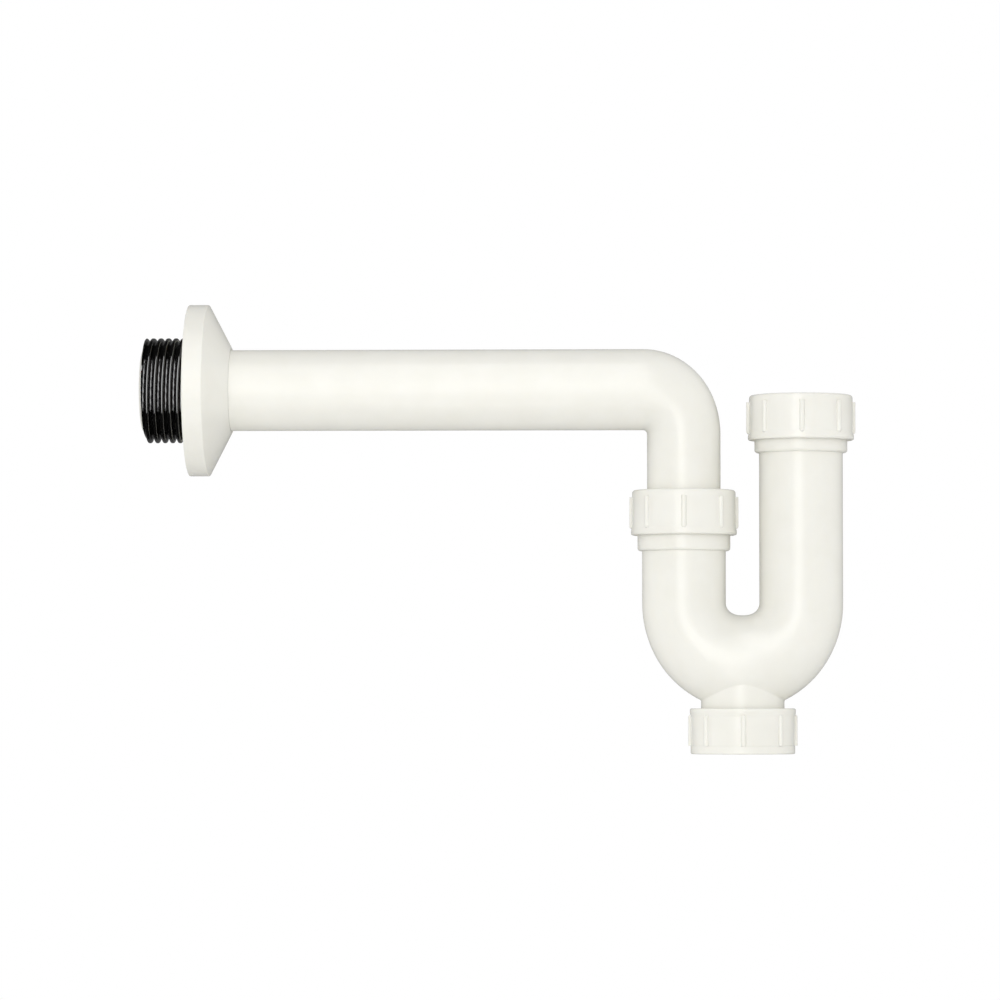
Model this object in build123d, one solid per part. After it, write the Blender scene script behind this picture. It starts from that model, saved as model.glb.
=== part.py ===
from build123d import *
from math import cos, hypot, radians, sin
import os

# Basin waste trap for a slip-joint pipe: a U-bend with a cleanout cap below it, two slip joints with
# hand nuts, and a swivelling outlet arm with a wall flange and a threaded rubber sleeve.
# The inlet axis is Z, the wall is towards -X, and the origin is at the top of the inlet's parallel bore.

# Driving dimensions in mm: the slip joints
pipe_diameter = 32.0  # tailpiece and spigot that the sockets take
socket_clearance = 0.3  # radial room of a pipe in its socket
washer_clearance = 0.1  # radial room of a pipe in its washer
lip_clearance = 0.4  # radial room of a pipe in the nut and the friction ring
socket_depth = 28.0  # parallel bore, from the seat down to the stop
stop_width = 0.5
socket_wall = 2.7
seat_depth = 2.2
seat_width = 1.7
seat_gap = 0.25  # between the washer's cone and its seat
washer_rim = 2.2
washer_nose = 1.6
washer_inset = 0.1  # washer's edge inside the barrel's
ring_thickness = 1.2
ring_inset = 0.7  # friction ring's edge inside the nut's bore
thread_depth = 1.2
thread_clearance = 0.3
collar_overlap = 1.0  # collar that stands inside the nut
collar_edge = 1.3

# Hand nuts and the cap's skirt
nut_height = 19.6
nut_lip = 2.2
nut_wall = 2.0
nut_draft = 0.2  # growth of the radius towards the open end
nut_edge = 1.3
lead_width = 1.3  # widening of the nut's bore at its foot
lead_height = 2.4
rim_height = 3.4  # from the open end to where the skirt starts to flare
rim_band = 1.6  # straight part of the rim
rim_width = 0.35
rim_edge = 0.8
flare_round = 3.0
rib_count = 8
rib_width = 2.2
rib_rise = 1.05  # above the skirt where it is widest
rib_lift = 2.7  # from the open end to the ribs
rib_setback = 3.0  # plain band at a nut's closed end

# Trap body
leg_spacing = 51.0
inlet_leg = 82.7  # from the inlet's bore top to the bend's centre
outlet_leg = 41.4
tube_wall = 2.4
bend_swell = 2.35  # extra radius of the bend at its lowest section
bend_drop = 0.35  # outward move of that section
inlet_collar = 5.5  # collar that shows below the nut
outlet_collar = 6.9
neck_diameter = 36.2
neck_wall = 3.0
neck_length = 14.7  # below the bend's underside
neck_root = 0.7  # fillet where the neck leaves the bend
neck_thread_depth = 1.0

# Cleanout cap
cap_height = 19.8
cap_floor = 2.5
cap_band = 3.6  # plain band at the closed end
cap_band_step = 0.2
cap_edge = 0.7
gasket_thickness = 2.0
gasket_inset = 0.5
gasket_width = 3.5

# Outlet arm
arm_diameter = 35.4
arm_wall = 2.0
arm_rise = 51.8  # arm's axis above the outlet's bore top
elbow_inner_radius = 1.7
spigot_wall = 1.9
spigot_insertion = 21.0
spigot_chamfer = 0.8
wall_distance = 216.2  # outlet axis to the wall's face
arm_reach = 20.5  # beyond the wall's face
arm_end_edge = 0.5

# Wall flange and threaded sleeve
flange_diameter = 75.0
flange_depth = 18.4
flange_rim = 8.6
flange_wall = 2.0
flange_clearance = 0.2
flange_tip = 0.9
flange_edge = 0.5
sleeve_setback = 1.4  # arm's end that shows beyond the sleeve
sleeve_length = 29.8
sleeve_clearance = 0.05
sleeve_wall = 3.3
sleeve_pitch = 3.3
sleeve_ridge = 1.95
sleeve_crest = 0.7
sleeve_ridge_count = 6

# Radii and heights that follow from them
pipe_radius = pipe_diameter / 2
socket_radius = pipe_radius + socket_clearance
waterway_radius = socket_radius - stop_width
barrel_radius = socket_radius + socket_wall
collar_radius = barrel_radius + thread_depth
leg_radius = waterway_radius + tube_wall
lip_radius = pipe_radius + lip_clearance
nut_bore = collar_radius + thread_clearance
bend_radius = leg_spacing / 2
bend_height = -inlet_leg
outlet_height = outlet_leg - inlet_leg
nut_top = seat_depth + washer_rim + ring_thickness + nut_lip
nut_foot = nut_top - nut_height
neck_radius = neck_diameter / 2
underside = bend_height - bend_radius - bend_drop - leg_radius - bend_swell
neck_end = underside - neck_length
cap_bore = neck_radius + neck_thread_depth + thread_clearance
cap_foot = neck_end - gasket_thickness - cap_floor
skirt_radius = nut_bore + nut_wall
arm_radius = arm_diameter / 2
arm_height = outlet_height + arm_rise
wall_face = -leg_spacing - wall_distance
sleeve_bore = arm_radius + sleeve_clearance
sleeve_root = sleeve_bore + sleeve_wall
sleeve_end = wall_face - arm_reach + sleeve_setback
half_turn = 180.0  # in degrees
quarter_turn = half_turn / 2
station_angle = quarter_turn / 4  # between the sections of a bend
along_x = Rot(0, quarter_turn, 0)  # turns a piece made about Z so that its height runs along +X


def turned(corners):
    """Solid of revolution about Z from corners: (radius, height), or (radius, height, edge radius)."""
    points = [(radius, 0, height) for radius, height, *edge in corners]
    radii = [edge[0] if edge else 0 for radius, height, *edge in corners]
    outline = FilletPolyline(*points, radius=radii, close=True)
    return revolve(make_face(outline), Axis.Z)


def bent_run(middle_x, middle_z, start, turn, first_reach, full_reach, first_radius, full_radius):
    """Round run bent about a middle, from its first size to its full size a quarter turn on."""
    path = Plane.XZ * CenterArc((middle_x, middle_z), first_reach, start, turn)
    stations = round(turn / station_angle)
    sections = []
    for station in range(stations + 1):
        turned_by = radians(turn) * station / stations
        share = sin(turned_by) ** 2
        reach = first_reach + (full_reach - first_reach) * share
        angle = radians(start) + turned_by
        centre = (middle_x + reach * cos(angle), 0, middle_z + reach * sin(angle))
        across = Plane(origin=centre, x_dir=(0, 1, 0), z_dir=(-sin(angle), 0, cos(angle)))
        sections.append(across * Circle(first_radius + (full_radius - first_radius) * share))
    return sweep(sections, path, multisection=True)


def leg_outside(length, collar):
    """Outside of a leg: tube, collar and threaded barrel up to the rim, from the top of its bore."""
    collar_foot = nut_foot - collar
    return turned(
        [
            (0, -length),
            (leg_radius, -length),
            (leg_radius, collar_foot),
            (collar_radius, collar_foot, collar_edge),
            (collar_radius, nut_foot + collar_overlap),
            (barrel_radius, nut_foot + collar_overlap),
            (barrel_radius, seat_depth),
            (0, seat_depth),
        ]
    )


def leg_bore(length):
    """Waterway, stop, socket and washer seat of a leg."""
    return turned(
        [
            (0, -length),
            (waterway_radius, -length),
            (waterway_radius, -socket_depth),
            (socket_radius, -socket_depth),
            (socket_radius, 0),
            (socket_radius + seat_width, seat_depth),
            (0, seat_depth),
        ]
    )


def bend_core(radius):
    """Solid run of one layer of the U-bend between the legs, widest at its lowest section."""
    low_reach = bend_radius + bend_drop
    low_radius = radius + bend_swell
    return bent_run(
        -bend_radius, bend_height, half_turn, half_turn, bend_radius, low_reach, radius, low_radius
    )


def neck_outside():
    """Cleanout neck, from the middle of the bend's lowest section down to its sealing end."""
    height = bend_height - bend_radius - neck_end
    return Pos(-bend_radius, 0, neck_end + height / 2) * Cylinder(neck_radius, height)


def neck_bore():
    """Hole of the cleanout neck into the bend."""
    height = bend_height - bend_radius - neck_end
    return Pos(-bend_radius, 0, neck_end + height / 2) * Cylinder(neck_radius - neck_wall, height)


def trap_body():
    """The moulded trap: two socketed legs, the bend and the cleanout neck."""
    outlet = Pos(-leg_spacing, 0, outlet_height)
    tubes = leg_outside(inlet_leg, inlet_collar) + outlet * leg_outside(outlet_leg, outlet_collar)
    branched = tubes + bend_core(leg_radius) + neck_outside()
    joint = branched.edges().filter_by(lambda edge: neck_end < edge.center().Z < bend_height - bend_radius)
    shape = fillet(joint.filter_by(lambda edge: edge.center().Z > underside), neck_root)
    bores = leg_bore(inlet_leg) + outlet * leg_bore(outlet_leg) + bend_core(waterway_radius) + neck_bore()
    return shape - bores


def skirt_ribs(open_end, closed_end, radius):
    """Grip ribs along a skirt, round at the open end, where open_end and closed_end are heights."""
    half = rib_width / 2
    way = 1 if closed_end > open_end else -1
    round_centre = open_end + way * half
    length = abs(closed_end - round_centre)
    rib = Pos(0, 0, (round_centre + closed_end) / 2) * Cylinder(half, length)
    rib += Pos(0, 0, round_centre) * Sphere(half)
    return PolarLocations(radius, rib_count) * rib


def slip_nut():
    """Hand nut of a slip joint, from the top of the bore that it closes on."""
    outer = skirt_radius + nut_draft
    profile = [
        (lip_radius, nut_top),
        (skirt_radius, nut_top, nut_edge),
        (outer, nut_foot + rim_height, flare_round),
        (outer + rim_width, nut_foot + rim_band, flare_round),
        (outer + rim_width, nut_foot, rim_edge),
        (nut_bore + lead_width, nut_foot),
        (nut_bore, nut_foot + lead_height),
        (nut_bore, nut_top - nut_lip),
        (lip_radius, nut_top - nut_lip),
    ]
    body = turned(profile)
    rib_radius = outer + rib_rise - rib_width / 2
    for rib in skirt_ribs(nut_foot + rib_lift, nut_top - rib_setback, rib_radius):
        body += rib
    return body


def friction_ring():
    """Flat ring that the nut turns on, between its lip and the washer."""
    outer = nut_bore - ring_inset
    low = seat_depth + washer_rim
    high = low + ring_thickness
    return turned([(lip_radius, low), (outer, low), (outer, high), (lip_radius, high)])


def slip_washer():
    """Rubber washer with a flat rim on the barrel and a conical nose in its seat."""
    bore = pipe_radius + washer_clearance
    outer = barrel_radius - washer_inset
    nose_height = seat_depth - washer_nose
    nose_radius = socket_radius + seat_width * nose_height / seat_depth - seat_gap
    return turned(
        [
            (bore, nose_height),
            (nose_radius, nose_height),
            (socket_radius + seat_width - seat_gap, seat_depth),
            (outer, seat_depth),
            (outer, seat_depth + washer_rim),
            (bore, seat_depth + washer_rim),
        ]
    )


def cleanout_cap():
    """Screw cap of the cleanout neck: a ribbed skirt with a plain band at its closed end."""
    top = cap_foot + cap_height
    outer = skirt_radius + nut_draft
    band = cap_foot + cap_band
    profile = [
        (0, cap_foot),
        (outer, cap_foot, cap_edge),
        (outer, band),
        (outer - cap_band_step, band),
        (outer, top - rim_height, flare_round),
        (outer + rim_width, top - rim_band, flare_round),
        (outer + rim_width, top, rim_edge),
        (cap_bore, top),
        (cap_bore, cap_foot + cap_floor),
        (0, cap_foot + cap_floor),
    ]
    body = turned(profile)
    rib_radius = outer + rib_rise - rib_width / 2
    for rib in skirt_ribs(top - rib_lift, band, rib_radius):
        body += rib
    return Pos(-bend_radius, 0, 0) * body


def cleanout_gasket():
    """Flat gasket between the cap's floor and the neck's end."""
    outer = cap_bore - gasket_inset
    low = cap_foot + cap_floor
    ring = [(outer - gasket_width, low), (outer, low), (outer, neck_end), (outer - gasket_width, neck_end)]
    return Pos(-bend_radius, 0, 0) * turned(ring)


def arm_core(tube_radius, spigot_radius):
    """Solid run of one layer of the arm: spigot, widening elbow and level tube."""
    corner_x = -leg_spacing - pipe_radius - elbow_inner_radius
    corner_z = arm_height - arm_radius - elbow_inner_radius
    first_reach = elbow_inner_radius + pipe_radius
    full_reach = elbow_inner_radius + arm_radius
    elbow = bent_run(
        corner_x, corner_z, 0, quarter_turn, first_reach, full_reach, spigot_radius, tube_radius
    )
    foot = outlet_height - spigot_insertion
    spigot = Pos(-leg_spacing, 0, (foot + corner_z) / 2) * Cylinder(spigot_radius, corner_z - foot)
    end = wall_face - arm_reach
    tube = Pos((end + corner_x) / 2, 0, arm_height) * along_x * Cylinder(tube_radius, corner_x - end)
    return spigot + elbow + tube


def outlet_arm():
    """One moulding: the spigot in the outlet socket, the elbow and the tube into the wall."""
    shape = arm_core(arm_radius, pipe_radius) - arm_core(arm_radius - arm_wall, pipe_radius - spigot_wall)
    spigot_rim = shape.edges().group_by(Axis.Z)[0].sort_by(SortBy.RADIUS)[-1]
    shape = chamfer(spigot_rim, spigot_chamfer)
    tube_rim = shape.edges().group_by(Axis.X)[0].sort_by(SortBy.RADIUS)[-1]
    return fillet(tube_rim, arm_end_edge)


def wall_flange():
    """Hollow cone that slides on the arm and covers the hole in the wall."""
    outer = flange_diameter / 2
    bore = arm_radius + flange_clearance
    tip = bore + flange_tip
    slope = (outer - tip) / (flange_depth - flange_rim)
    inside = outer - flange_wall * hypot(1, slope)  # inner cone's radius at the rim's front
    cone_start = flange_rim - (outer - flange_wall - inside) / slope
    cone_stop = flange_rim + (inside - bore) / slope
    profile = [
        (outer, 0, flange_edge),
        (outer, flange_rim, flange_edge),
        (tip, flange_depth),
        (bore, flange_depth),
        (bore, cone_stop),
        (outer - flange_wall, cone_start),
        (outer - flange_wall, 0),
    ]
    return Pos(wall_face, 0, arm_height) * along_x * turned(profile)


def wall_sleeve():
    """Rubber sleeve on the arm's end, ridged where the wall pipe grips it."""
    flank = (sleeve_pitch - sleeve_crest) / 2
    crest = sleeve_root + sleeve_ridge
    profile = [(sleeve_bore, 0)]
    for index in range(sleeve_ridge_count):
        start = index * sleeve_pitch
        profile.append((sleeve_root, start))
        profile.append((crest, start + flank))
        profile.append((crest, start + flank + sleeve_crest))
    profile.append((sleeve_root, sleeve_ridge_count * sleeve_pitch))
    profile.append((sleeve_root, sleeve_length))
    profile.append((sleeve_bore, sleeve_length))
    return Pos(sleeve_end, 0, arm_height) * along_x * turned(profile)


outlet_joint = Pos(-leg_spacing, 0, outlet_height)
pieces = {
    "trap_body": trap_body(),
    "inlet_nut": slip_nut(),
    "inlet_friction_ring": friction_ring(),
    "inlet_washer": slip_washer(),
    "outlet_nut": outlet_joint * slip_nut(),
    "outlet_friction_ring": outlet_joint * friction_ring(),
    "outlet_washer": outlet_joint * slip_washer(),
    "cleanout_cap": cleanout_cap(),
    "cleanout_gasket": cleanout_gasket(),
    "outlet_arm": outlet_arm(),
    "wall_flange": wall_flange(),
    "wall_sleeve": wall_sleeve(),
}

os.makedirs("parts", exist_ok=True)
for name, piece in pieces.items():
    export_step(piece, f"parts/{name}.step")
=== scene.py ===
import bmesh
import bpy
import math
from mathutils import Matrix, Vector


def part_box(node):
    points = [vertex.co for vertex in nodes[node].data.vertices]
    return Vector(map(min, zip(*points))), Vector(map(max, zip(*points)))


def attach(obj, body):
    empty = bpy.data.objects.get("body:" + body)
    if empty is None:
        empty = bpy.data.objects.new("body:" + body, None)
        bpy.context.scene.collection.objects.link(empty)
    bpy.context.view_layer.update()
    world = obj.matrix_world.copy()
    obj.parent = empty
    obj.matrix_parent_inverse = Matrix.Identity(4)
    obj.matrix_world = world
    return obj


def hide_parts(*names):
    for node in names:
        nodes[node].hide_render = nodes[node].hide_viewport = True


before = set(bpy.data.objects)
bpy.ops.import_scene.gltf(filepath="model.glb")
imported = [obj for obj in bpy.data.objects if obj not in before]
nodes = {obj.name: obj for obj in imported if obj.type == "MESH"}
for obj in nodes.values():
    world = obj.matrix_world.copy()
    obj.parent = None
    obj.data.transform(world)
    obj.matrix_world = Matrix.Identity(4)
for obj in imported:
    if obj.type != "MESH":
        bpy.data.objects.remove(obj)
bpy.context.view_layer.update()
mm = 0.001
print("frame loaded:", len(nodes), "nodes")


# node helpers

def newMaterial(name):
    material = bpy.data.materials.new(name)
    material.use_nodes = True
    return material, material.node_tree, material.node_tree.nodes["Principled BSDF"]


def addNode(tree, kind, inputs=None, **settings):
    node = tree.nodes.new(kind)
    for key, value in settings.items():
        setattr(node, key, value)
    for socket, value in (inputs or {}).items():
        node.inputs[socket].default_value = value
    return node


def addMath(tree, operation, first, second=None):
    node = addNode(tree, "ShaderNodeMath", operation=operation)
    for index, value in enumerate((first, second)):
        if value is None:
            continue
        if isinstance(value, (int, float)):
            node.inputs[index].default_value = value
        else:
            tree.links.new(value, node.inputs[index])
    return node.outputs[0]


def objectPlace(tree):
    return addNode(tree, "ShaderNodeTexCoord").outputs["Object"]


def addNoise(tree, place, size, detail, stretch=(1, 1, 1)):  # size is the grain of the noise in metres
    mapping = addNode(tree, "ShaderNodeMapping", {"Scale": stretch})
    noise = addNode(tree, "ShaderNodeTexNoise", {"Scale": 1 / size, "Detail": detail})
    tree.links.new(place, mapping.inputs["Vector"])
    tree.links.new(mapping.outputs["Vector"], noise.inputs["Vector"])
    return noise.outputs["Fac"]


def spread(tree, value, low, high, fromLow=0.35, fromHigh=0.65):  # noise mostly lies from 0.35 to 0.65
    ends = {"From Min": fromLow, "From Max": fromHigh, "To Min": low, "To Max": high}
    node = addNode(tree, "ShaderNodeMapRange", ends)
    tree.links.new(value, node.inputs["Value"])
    return node.outputs["Result"]


def addBump(tree, height, depth, strength, normal=None):
    node = addNode(tree, "ShaderNodeBump", {"Strength": strength, "Distance": depth})
    tree.links.new(height, node.inputs["Height"])
    if normal is not None:
        tree.links.new(normal, node.inputs["Normal"])
    return node.outputs["Normal"]


def addTint(tree, surface, place, look):  # two close colours in soft clouds
    clouds = addNoise(tree, place, look["cloudSize"], look["cloudDetail"])
    tint = addNode(tree, "ShaderNodeMix", data_type="RGBA")
    tint.inputs["A"].default_value = look["pale"]
    tint.inputs["B"].default_value = look["deep"]
    tree.links.new(spread(tree, clouds, 0, 1), tint.inputs["Factor"])
    tree.links.new(tint.outputs["Result"], surface.inputs["Base Color"])


def addGrain(tree, surface, place, look):  # one fine noise for the roughness and the relief
    grain = addNoise(tree, place, look["grainSize"], look["grainDetail"])
    tree.links.new(spread(tree, grain, *look["roughness"]), surface.inputs["Roughness"])
    relief = addBump(tree, grain, look["grainDepth"], look["grainStrength"])
    tree.links.new(relief, surface.inputs["Normal"])


# moulded plastic of the trap, the arm, the nuts, the cap and the flange
creamLook = {
    "pale": (0.904, 0.894, 0.836, 1),
    "deep": (0.884, 0.873, 0.81, 1),
    "cloudSize": 14 * mm,
    "cloudDetail": 3,
    "flowSize": 5 * mm,
    "flowDetail": 4,
    "roughness": (0.2, 0.26),
    "peelSize": 0.9 * mm,
    "peelDetail": 2,
    "peelDepth": 0.012 * mm,
    "peelStrength": 0.6,
    "edgeRadius": 0.25 * mm,
    "edgeSamples": 4,
    "seamWidth": 0.12 * mm,
    "seamDepth": 0.05 * mm,
    "gloss": 1.49,
    "specular": 0.3,
    "milkiness": 0.1,
    "milkTint": (1.0, 0.9, 0.7),
    "milkDepth": 1.2 * mm,
}


def creamPlastic(name, flow, seam):  # flow draws out the flow marks, seam adds a parting line at y = 0
    look = creamLook
    material, tree, surface = newMaterial(name)
    place = objectPlace(tree)
    addTint(tree, surface, place, look)
    flowMarks = addNoise(tree, place, look["flowSize"], look["flowDetail"], flow)
    tree.links.new(spread(tree, flowMarks, *look["roughness"]), surface.inputs["Roughness"])
    softEdge = addNode(tree, "ShaderNodeBevel", {"Radius": look["edgeRadius"]}, samples=look["edgeSamples"])
    peel = addNoise(tree, place, look["peelSize"], look["peelDetail"])
    normal = addBump(tree, peel, look["peelDepth"], look["peelStrength"], softEdge.outputs["Normal"])
    if seam:
        split = addNode(tree, "ShaderNodeSeparateXYZ")
        tree.links.new(place, split.inputs["Vector"])
        offset = addMath(tree, "ABSOLUTE", split.outputs["Y"])
        ridge = spread(tree, offset, 1, 0, 0, look["seamWidth"])
        normal = addBump(tree, ridge, look["seamDepth"], 1, normal)
    tree.links.new(normal, surface.inputs["Normal"])
    surface.inputs["IOR"].default_value = look["gloss"]
    surface.inputs["Specular IOR Level"].default_value = look["specular"]
    surface.inputs["Subsurface Weight"].default_value = look["milkiness"]
    surface.inputs["Subsurface Radius"].default_value = look["milkTint"]
    surface.inputs["Subsurface Scale"].default_value = look["milkDepth"]
    return material


# natural plastic of the friction rings
ringLook = {
    "pale": (0.8, 0.81, 0.8, 1),
    "deep": (0.74, 0.75, 0.74, 1),
    "cloudSize": 3 * mm,
    "cloudDetail": 3,
    "grainSize": 0.5 * mm,
    "grainDetail": 2,
    "grainDepth": 0.01 * mm,
    "grainStrength": 0.5,
    "roughness": (0.4, 0.55),
    "milkiness": 0.2,
    "milkDepth": 1.5 * mm,
}


def ringPlastic(name):
    material, tree, surface = newMaterial(name)
    place = objectPlace(tree)
    addTint(tree, surface, place, ringLook)
    addGrain(tree, surface, place, ringLook)
    surface.inputs["Subsurface Weight"].default_value = ringLook["milkiness"]
    surface.inputs["Subsurface Scale"].default_value = ringLook["milkDepth"]
    return material


# rubber of the sleeve, the washers and the gasket
rubberLooks = {
    "sleeveRubber": {
        "pale": (0.003, 0.003, 0.003, 1),
        "deep": (0.0015, 0.0015, 0.0015, 1),
        "cloudSize": 4 * mm,
        "cloudDetail": 3,
        "grainSize": 0.35 * mm,
        "grainDetail": 3,
        "grainDepth": 0.0006 * mm,
        "grainStrength": 0.5,
        "roughness": (0.06, 0.1),
        "gloss": 2.2,
    },
    "washerRubber": {
        "pale": (0.035, 0.035, 0.035, 1),
        "deep": (0.022, 0.022, 0.022, 1),
        "cloudSize": 4 * mm,
        "cloudDetail": 3,
        "grainSize": 0.35 * mm,
        "grainDetail": 3,
        "grainDepth": 0.02 * mm,
        "grainStrength": 0.5,
        "roughness": (0.5, 0.65),
        "gloss": 1.5,
    },
}


def blackRubber(name):
    look = rubberLooks[name]
    material, tree, surface = newMaterial(name)
    place = objectPlace(tree)
    addTint(tree, surface, place, look)
    addGrain(tree, surface, place, look)
    surface.inputs["IOR"].default_value = look["gloss"]
    return material


downFlow = (1, 1, 0.15)  # marks drawn out along Z
levelFlow = (0.15, 1, 1)  # marks drawn out along X
finishes = {
    "trapPlastic": creamPlastic("trapPlastic", downFlow, True),
    "armPlastic": creamPlastic("armPlastic", levelFlow, True),
    "nutPlastic": creamPlastic("nutPlastic", downFlow, False),
    "flangePlastic": creamPlastic("flangePlastic", levelFlow, False),
    "ringPlastic": ringPlastic("ringPlastic"),
    "sleeveRubber": blackRubber("sleeveRubber"),
    "washerRubber": blackRubber("washerRubber"),
}
dressing = {
    "trap_body": "trapPlastic",
    "outlet_arm": "armPlastic",
    "inlet_nut": "nutPlastic",
    "outlet_nut": "nutPlastic",
    "cleanout_cap": "nutPlastic",
    "wall_flange": "flangePlastic",
    "inlet_friction_ring": "ringPlastic",
    "outlet_friction_ring": "ringPlastic",
    "inlet_washer": "washerRubber",
    "outlet_washer": "washerRubber",
    "cleanout_gasket": "washerRubber",
    "wall_sleeve": "sleeveRubber",
}
for nodeName, finishName in dressing.items():
    for materialSlot in nodes[nodeName].material_slots:
        materialSlot.material = finishes[finishName]
print("finishes on:", len(dressing), "nodes")


# mesh helpers

def pieceFromMesh(name, mesh, finishName, bodyName, crease):
    bmesh.ops.recalc_face_normals(mesh, faces=mesh.faces)
    data = bpy.data.meshes.new(name)
    mesh.to_mesh(data)
    mesh.free()
    data.polygons.foreach_set("use_smooth", [True] * len(data.polygons))
    data.set_sharp_from_angle(angle=math.radians(crease))
    data.materials.append(finishes[finishName])
    piece = bpy.data.objects.new(name, data)
    bpy.context.scene.collection.objects.link(piece)
    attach(piece, bodyName)
    return piece


def joinRings(mesh, rings):  # quads between rows of points that close on themselves
    for lower, upper in zip(rings, rings[1:]):
        count = len(lower)
        for index in range(count):
            following = (index + 1) % count
            mesh.faces.new((lower[index], lower[following], upper[following], upper[index]))


def smoothStep(value):
    value = min(max(value, 0), 1)
    return value * value * (3 - 2 * value)


# screw threads of the two sockets, the neck, the nuts and the cap: ridges wound on the plain cylinders
threadLook = {
    "pitch": 3.0 * mm,
    "height": 1.1 * mm,
    "sunk": 0.08 * mm,
    "outerHalves": (0.85 * mm, 0.45 * mm),  # half widths at the foot and the crest of an outside thread
    "innerHalves": (0.6 * mm, 0.25 * mm),
    "edge": 0.15 * mm,
    "runOut": 0.18,  # turns over which a ridge rises at its ends
    "stepsPerTurn": 96,
    "crease": 50,  # degrees
}


def threadRidge(name, centre, wallRadius, low, high, meetsAt, outside, finishName, bodyName):
    look = threadLook
    foot, crest = look["outerHalves"] if outside else look["innerHalves"]
    way = 1 if outside else -1
    edge = look["edge"]
    profile = [
        (-foot, -look["sunk"]),
        (-crest - edge / 2, look["height"] - edge),
        (-crest + edge, look["height"]),
        (crest - edge, look["height"]),
        (crest + edge / 2, look["height"] - edge),
        (foot, -look["sunk"]),
    ]
    crestHeight = meetsAt if outside else meetsAt + look["pitch"] / 2  # inside ridges lie between
    turns = (high - low) / look["pitch"]
    steps = round(turns * look["stepsPerTurn"])
    mesh = bmesh.new()
    rings = []
    for step in range(steps + 1):
        turned = turns * step / steps
        rise = smoothStep(min(turned, turns - turned) / look["runOut"])
        height = low + turned * look["pitch"]
        angle = 2 * math.pi * (height - crestHeight) / look["pitch"]
        ring = []
        for along, out in profile:
            radius = wallRadius + way * (out * rise if out > 0 else out)
            x, y = centre.x + radius * math.cos(angle), centre.y + radius * math.sin(angle)
            ring.append(mesh.verts.new((x, y, height + along)))
        rings.append(ring)
    joinRings(mesh, rings)
    mesh.faces.new(rings[0])
    mesh.faces.new(rings[-1])
    return pieceFromMesh(name, mesh, finishName, bodyName, look["crease"])


jointLook = {  # where the threads of a slip joint lie, from the pieces beside them
    "washerPlay": 0.1 * mm,  # from the washer's edge to the socket's outside
    "ringPlay": 0.7 * mm,  # from the friction ring's edge to the nut's bore
    "washerRise": 2.2 * mm,  # washer's top above the socket's rim
    "socketStart": 2.0 * mm,  # above the nut's foot
    "socketStop": 0.9 * mm,  # below the socket's rim
    "nutStart": 3.2 * mm,  # above the nut's foot
    "nutStop": 0.8 * mm,  # below the friction ring
}


def makeJointThreads(side):  # the socket's thread and the nut's, at the inlet or the outlet
    look = jointLook
    nutLow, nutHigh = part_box(side + "_nut")
    washerLow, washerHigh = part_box(side + "_washer")
    ringLow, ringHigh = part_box(side + "_friction_ring")
    centre = (nutLow + nutHigh) / 2
    barrelRadius = (washerHigh.x - washerLow.x) / 2 + look["washerPlay"]
    nutRadius = (ringHigh.x - ringLow.x) / 2 + look["ringPlay"]
    rimHeight = washerHigh.z - look["washerRise"]  # top of the socket
    threadRidge(
        side + "_socket_thread", centre, barrelRadius,
        nutLow.z + look["socketStart"], rimHeight - look["socketStop"], rimHeight, True,
        "trapPlastic", "trap",
    )
    threadRidge(
        side + "_nut_thread", centre, nutRadius,
        nutLow.z + look["nutStart"], ringLow.z - look["nutStop"], rimHeight, False,
        "nutPlastic", side + "_nut",
    )


cleanoutLook = {
    "gasketPlay": 0.5 * mm,  # from the gasket's edge to the cap's bore
    "threadRoom": 1.3 * mm,  # from the cap's bore to the neck
    "neckStart": 0.9 * mm,  # above the neck's end
    "neckStop": 2.0 * mm,  # below the cap's top
    "capStart": 0.8 * mm,  # above the neck's end
    "capStop": 1.2 * mm,  # below the cap's top
}


def makeCleanoutThreads():
    look = cleanoutLook
    capLow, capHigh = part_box("cleanout_cap")
    gasketLow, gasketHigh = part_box("cleanout_gasket")
    centre = (gasketLow + gasketHigh) / 2
    capRadius = (gasketHigh.x - gasketLow.x) / 2 + look["gasketPlay"]
    neckRadius = capRadius - look["threadRoom"]
    neckEnd = gasketHigh.z
    threadRidge(
        "neck_thread", centre, neckRadius,
        neckEnd + look["neckStart"], capHigh.z - look["neckStop"], neckEnd, True,
        "trapPlastic", "trap",
    )
    threadRidge(
        "cap_thread", centre, capRadius,
        neckEnd + look["capStart"], capHigh.z - look["capStop"], neckEnd, False,
        "nutPlastic", "cap",
    )


for side in ("inlet", "outlet"):
    makeJointThreads(side)
makeCleanoutThreads()
print("screw threads wound: 6")


# rubber sleeve on the arm's wall end, with one thread wound round it
sleeveLook = {
    "pitch": 3.3 * mm,
    "ridge": 1.95 * mm,
    "threaded": 19.8 * mm,  # from the wall end
    "leftThere": 0.5,  # share of the thread's height that is left there, half way through its run-out
    "crestAtTop": 0.1 * mm,  # first crest on the upper side, from the wall end
    "rootLand": 0.5 * mm,  # nearly flat width in the roots
    "crestPower": 3.2,  # 2 gives round crests, more gives flatter ones
    "rootCurve": 0.03 * mm,
    "rowsPerPitch": 33,
    "sides": 128,
    "snug": 0.05 * mm,  # from the arm to the sleeve's bore
    "mouthEdge": 0.4 * mm,
    "crease": 40,  # degrees
}


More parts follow.
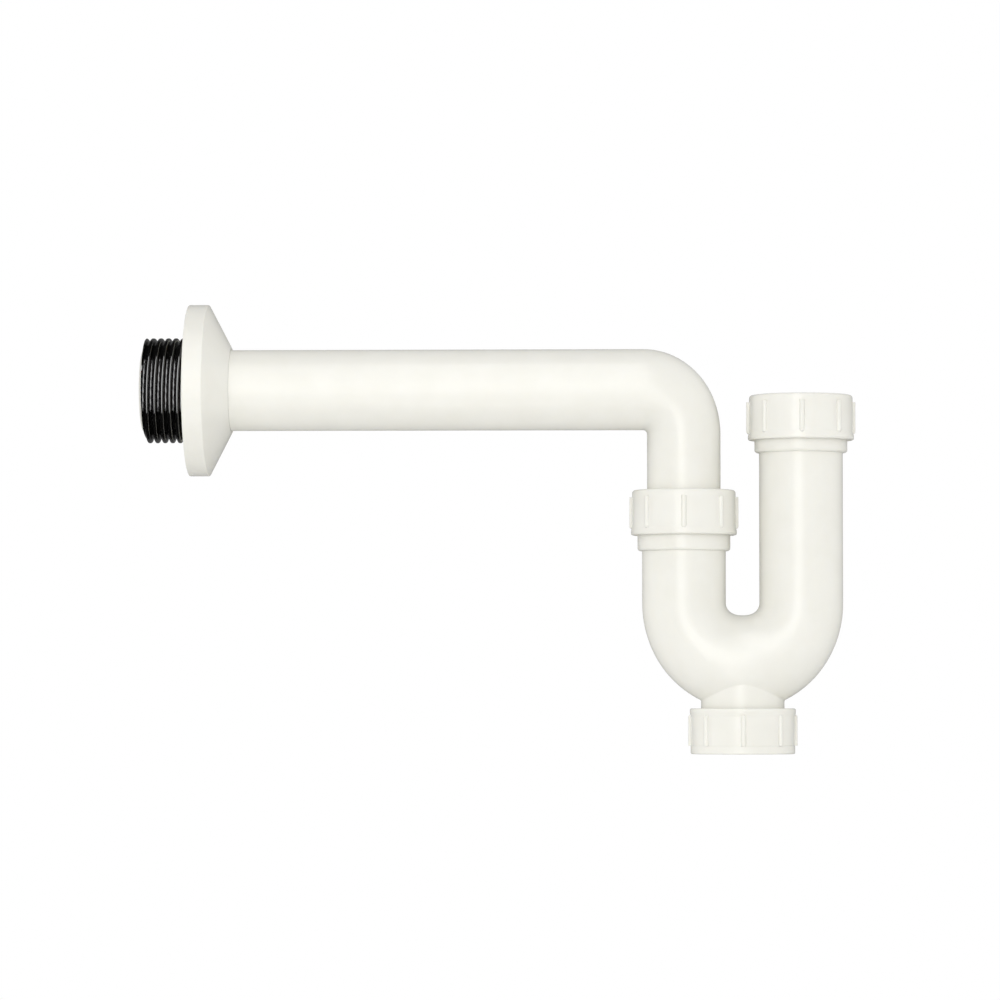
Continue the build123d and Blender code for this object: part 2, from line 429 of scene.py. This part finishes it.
def makeSleeve():
    look = sleeveLook
    low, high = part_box("wall_sleeve")
    armLow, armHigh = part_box("outlet_arm")
    axisHeight = (low.z + high.z) / 2
    length = high.x - low.x
    root = (high.y - low.y) / 2 - look["ridge"]
    bore = (armHigh.y - armLow.y) / 2 + look["snug"]
    rowCount = round(length / look["pitch"] * look["rowsPerPitch"])

    def outerRadius(along, turn):  # turn is 0 at the top and grows towards the front
        phase = (along - look["crestAtTop"]) / look["pitch"] + turn
        offCrest = abs(phase - round(phase)) * look["pitch"]
        flankEnd = (look["pitch"] - look["rootLand"]) / 2
        wave = 1 - min(offCrest / flankEnd, 1) ** look["crestPower"]
        dish = look["rootCurve"] * (1 - math.cos(2 * math.pi * phase)) / 2
        fade = smoothStep((look["threaded"] - along) / look["pitch"] + look["leftThere"])
        return root + (look["ridge"] * wave - dish) * fade

    def ringAt(along, radiusOf):
        ring = []
        for index in range(look["sides"]):
            turn = index / look["sides"]
            radius = radiusOf(turn)
            angle = 2 * math.pi * turn
            point = (low.x + along, -radius * math.sin(angle), axisHeight + radius * math.cos(angle))
            ring.append(mesh.verts.new(point))
        return ring

    mesh = bmesh.new()
    rings = [ringAt(0, lambda turn: bore), ringAt(0, lambda turn: outerRadius(0, turn) - look["mouthEdge"])]
    for row in range(rowCount):
        along = look["mouthEdge"] + (length - look["mouthEdge"]) * row / (rowCount - 1)
        rings.append(ringAt(along, lambda turn: outerRadius(along, turn)))
    rings.append(ringAt(length, lambda turn: bore))
    rings.append(rings[0])
    joinRings(mesh, rings)
    sleeve = pieceFromMesh("threaded_sleeve", mesh, "sleeveRubber", "arm", look["crease"])
    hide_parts("wall_sleeve")


makeSleeve()
print("sleeve wound")


# camera where the photograph was taken from
cameraLook = {
    "place": (-52 * mm, -2100 * mm, -123 * mm),
    "aim": (-131.2 * mm, 0, -37.6 * mm),
    "seenWidth": 436.6 * mm,
    "clipEnd": 100,
}


def makeCamera():
    sight = Vector(cameraLook["aim"]) - Vector(cameraLook["place"])
    cameraData = bpy.data.cameras.new("photoCamera")
    cameraData.lens = cameraData.sensor_width * sight.length / cameraLook["seenWidth"]
    cameraData.clip_end = cameraLook["clipEnd"]
    camera = bpy.data.objects.new("photoCamera", cameraData)
    bpy.context.scene.collection.objects.link(camera)
    camera.location = cameraLook["place"]
    camera.rotation_euler = sight.to_track_quat("-Z", "Y").to_euler()
    bpy.context.scene.camera = camera


makeCamera()
print("camera set")


# a soft box in front, a tall strip that only shows in reflections, weak fills, and even light all round
lightLooks = {  # turn goes from the front round to the right, lift is above level, both in degrees
    "softBox": {"width": 1.4, "height": 0.9, "turn": 0, "lift": 9, "distance": 1.6, "watts": 8.7},
    "strip": {"width": 0.62, "height": 7.2, "turn": -3.9, "lift": 13, "distance": 1.6, "watts": 42},
    "backFill": {"width": 1.6, "height": 1.6, "turn": 180, "lift": 35, "distance": 1.8, "watts": 4.8},
    "leftFill": {"width": 1.2, "height": 0.8, "turn": -102, "lift": 12, "distance": 1.8, "watts": 6.7},
    "rightFill": {"width": 1.2, "height": 0.8, "turn": 102, "lift": 12, "distance": 1.8, "watts": 4.0},
}
skyLook = {"below": 0.545, "level": 0.69, "above": 0.735}
plainWhite = 1.0  # strength of the background that is seen


def areaLight(name):
    look = lightLooks[name]
    lightData = bpy.data.lights.new(name, "AREA")
    lightData.shape = "RECTANGLE"
    lightData.size = look["width"]
    lightData.size_y = look["height"]
    lightData.energy = look["watts"]
    light = bpy.data.objects.new(name, lightData)
    bpy.context.scene.collection.objects.link(light)
    turn, lift = math.radians(look["turn"]), math.radians(look["lift"])
    away = Vector((math.sin(turn) * math.cos(lift), -math.cos(turn) * math.cos(lift), math.sin(lift)))
    light.location = Vector(cameraLook["aim"]) + away * look["distance"]
    light.rotation_euler = (-away).to_track_quat("-Z", "Y").to_euler()
    light.visible_camera = False
    onlyMirrored = name == "strip"
    light.visible_glossy = onlyMirrored
    light.visible_diffuse = not onlyMirrored


def isSeen(tree):  # 1 for rays from the camera, from gloss and through glass
    lightPath = addNode(tree, "ShaderNodeLightPath")
    seen = addMath(tree, "MAXIMUM", lightPath.outputs["Is Camera Ray"], lightPath.outputs["Is Glossy Ray"])
    return addMath(tree, "MAXIMUM", seen, lightPath.outputs["Is Transmission Ray"])


def makeSky():
    sky = bpy.data.worlds.new("evenLight")
    bpy.context.scene.world = sky
    sky.use_nodes = True
    tree = sky.node_tree
    background = tree.nodes["Background"]
    direction = addNode(tree, "ShaderNodeTexCoord").outputs["Generated"]
    split = addNode(tree, "ShaderNodeSeparateXYZ")
    tree.links.new(direction, split.inputs["Vector"])
    upward = spread(tree, split.outputs["Z"], skyLook["level"], skyLook["above"], 0, 1)
    downward = spread(tree, split.outputs["Z"], skyLook["below"], skyLook["level"], -1, 0)
    isUp = addMath(tree, "GREATER_THAN", split.outputs["Z"], 0)
    level = addNode(tree, "ShaderNodeMix", data_type="FLOAT")
    tree.links.new(isUp, level.inputs["Factor"])
    tree.links.new(downward, level.inputs["A"])
    tree.links.new(upward, level.inputs["B"])
    strength = addNode(tree, "ShaderNodeMix", data_type="FLOAT")
    tree.links.new(isSeen(tree), strength.inputs["Factor"])
    tree.links.new(level.outputs["Result"], strength.inputs["A"])
    strength.inputs["B"].default_value = plainWhite
    tree.links.new(strength.outputs["Result"], background.inputs["Strength"])
    background.inputs["Color"].default_value = (1, 1, 1, 1)


for lightName in lightLooks:
    areaLight(lightName)
makeSky()
print("lights set")


# pale floor, and a dark tent that only shows in reflections
floorLook = {
    "height": -0.45,
    "half": 12.0,
    "pale": (0.8, 0.8, 0.79, 1),
    "roughness": 0.9,
    "clearFrom": 1.2,  # the floor turns plain white between these distances
    "clearTo": 2.4,
}
tentLook = {"halfWidth": 2.6, "halfHeight": 3.6, "front": -2.8, "back": 4.0, "grey": 0.012, "backGrey": 0.16}


def stageObject(name, points, faces, material):
    data = bpy.data.meshes.new(name)
    data.from_pydata(points, [], faces)
    data.materials.append(material)
    thing = bpy.data.objects.new(name, data)
    bpy.context.scene.collection.objects.link(thing)
    return thing


def makeFloor():
    material, tree, surface = newMaterial("paleFloor")
    surface.inputs["Base Color"].default_value = floorLook["pale"]
    surface.inputs["Roughness"].default_value = floorLook["roughness"]
    white = addNode(tree, "ShaderNodeEmission", {"Strength": plainWhite})
    reach = addNode(tree, "ShaderNodeVectorMath", operation="LENGTH")
    tree.links.new(objectPlace(tree), reach.inputs[0])
    far = spread(tree, reach.outputs["Value"], 0, 1, floorLook["clearFrom"], floorLook["clearTo"])
    mix = addNode(tree, "ShaderNodeMixShader")
    tree.links.new(addMath(tree, "MULTIPLY", far, isSeen(tree)), mix.inputs["Fac"])
    tree.links.new(surface.outputs["BSDF"], mix.inputs[1])
    tree.links.new(white.outputs["Emission"], mix.inputs[2])
    tree.links.new(mix.outputs["Shader"], tree.nodes["Material Output"].inputs["Surface"])
    half = floorLook["half"]
    corners = [(-half, -half, 0), (half, -half, 0), (half, half, 0), (-half, half, 0)]
    floor = stageObject("floor", corners, [(0, 1, 2, 3)], material)
    floor.location = (cameraLook["aim"][0], 0, floorLook["height"])
    floor.visible_glossy = False


def greyGlow(name, strength):
    material, tree, surface = newMaterial(name)
    tree.nodes.remove(surface)
    glow = addNode(tree, "ShaderNodeEmission", {"Strength": strength})
    tree.links.new(glow.outputs["Emission"], tree.nodes["Material Output"].inputs["Surface"])
    return material


def makeTent():
    x, z = tentLook["halfWidth"], tentLook["halfHeight"]
    corners = []
    for depth in (tentLook["front"], tentLook["back"]):
        corners += [(-x, depth, -z), (x, depth, -z), (x, depth, z), (-x, depth, z)]
    walls = [(0, 1, 2, 3), (0, 1, 5, 4), (1, 2, 6, 5), (2, 3, 7, 6), (3, 0, 4, 7)]
    parts = [
        stageObject("darkTent", corners, walls, greyGlow("tentGrey", tentLook["grey"])),
        stageObject("tentBack", corners, [(4, 5, 6, 7)], greyGlow("tentBackGrey", tentLook["backGrey"])),
    ]
    for part in parts:
        part.location = (cameraLook["aim"][0], 0, cameraLook["aim"][2])
        part.visible_camera = False
        part.visible_diffuse = False
        part.visible_transmission = False
        part.visible_shadow = False


makeFloor()
makeTent()
bpy.context.scene.view_settings.view_transform = "Standard"
print("stage set")
